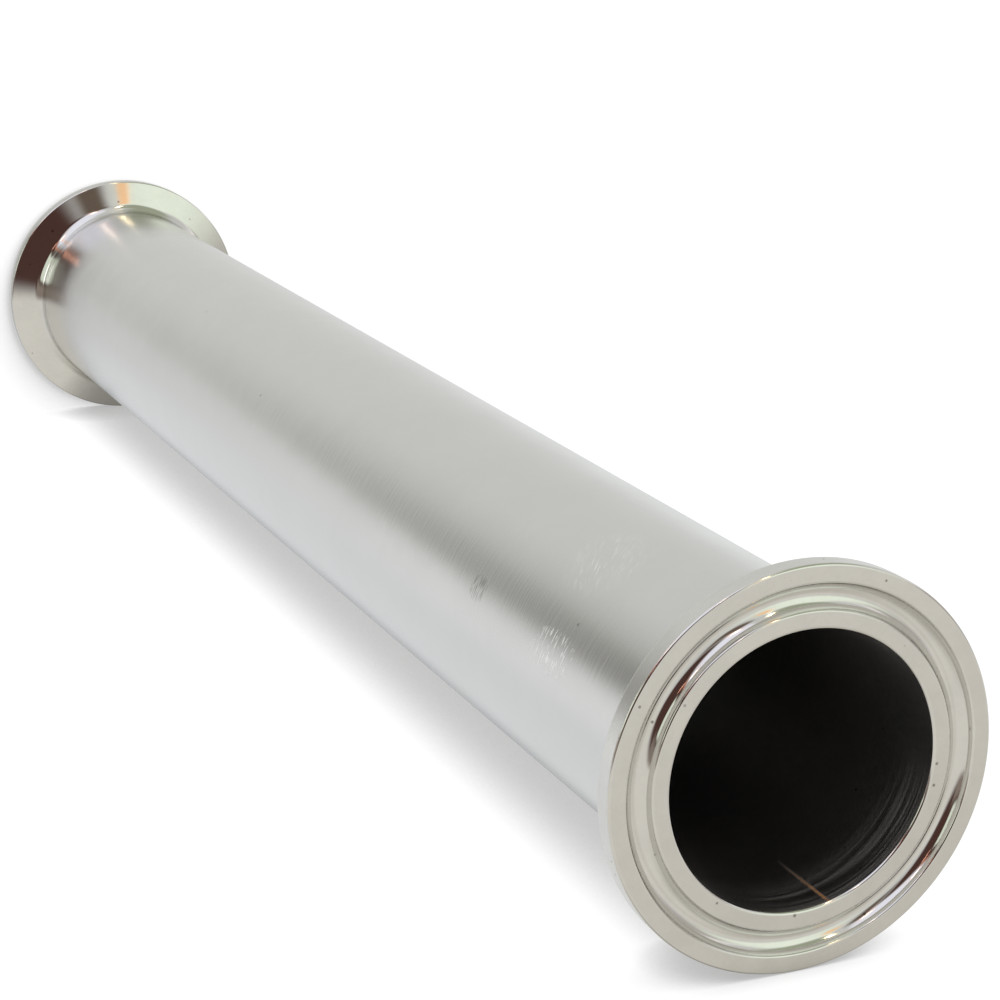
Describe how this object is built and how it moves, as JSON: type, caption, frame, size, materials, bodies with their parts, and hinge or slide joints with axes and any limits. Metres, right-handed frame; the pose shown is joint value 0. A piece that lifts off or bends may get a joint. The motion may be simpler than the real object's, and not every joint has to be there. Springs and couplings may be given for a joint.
{
  "type": "sanitary spool pipe",
  "caption": "Straight polished stainless steel tube with a flanged hygienic clamp ferrule, faced and grooved for a gasket, welded to each end.",
  "frame": {"origin": "centre of the lower gasket face, which the spool stands on", "axes": "+Z along the tube's axis, from the lower gasket face to the upper one; X and Y are alike"},
  "size_m": [0.0506, 0.0506, 0.3048],
  "materials": {
    "ferrule_steel": "turned and polished stainless steel",
    "tube_steel": "polished stainless steel, faint long scuffs"
  },
  "bodies": {
    "root": {"lower_ferrule": "ferrule_steel", "tube": "tube_steel", "upper_ferrule": "ferrule_steel"}
  },
  "joints": []
}
